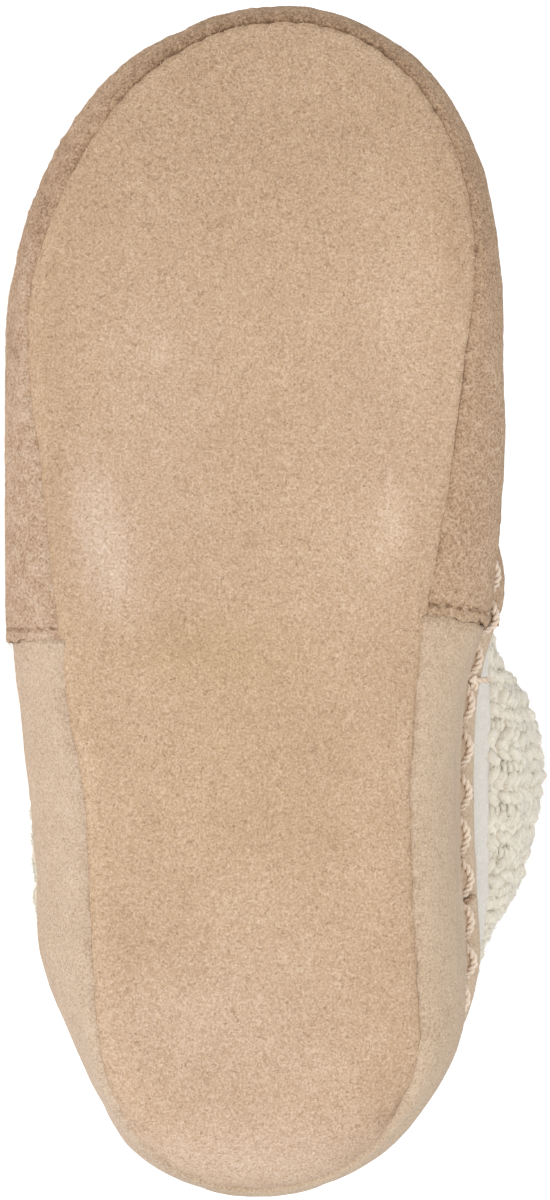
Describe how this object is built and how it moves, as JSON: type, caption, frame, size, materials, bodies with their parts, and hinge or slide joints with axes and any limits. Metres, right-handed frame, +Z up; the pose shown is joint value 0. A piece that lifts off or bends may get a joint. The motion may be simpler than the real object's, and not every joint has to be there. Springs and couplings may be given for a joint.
{
  "type": "slipper",
  "caption": "Soft suede slipper for the right foot with a padded sole, a darker suede vamp, a white collar band and a thick turned-over knit cuff, lying on its outer side.",
  "frame": {"origin": "middle of the bounding box on the floor the slipper lies on", "axes": "+X from toe to heel, +Y from the ground face towards the cuff's mouth, +Z up, towards the inner side of the foot"},
  "size_m": [0.256, 0.1058, 0.1136],
  "materials": {
    "sole_suede": "tan suede nap, worn pale in places",
    "quarter_suede": "light tan suede nap",
    "vamp_suede": "darker tan suede nap",
    "white_felt": "smooth off-white felt",
    "cream_knit": "chunky cream wool knit",
    "fleece": "cream fleece"
  },
  "bodies": {
    "root": {"outsole": "sole_suede", "insole": "fleece", "upper": "quarter_suede", "vamp": "vamp_suede", "collar_band": "white_felt", "knit_cuff": "cream_knit"}
  },
  "joints": []
}
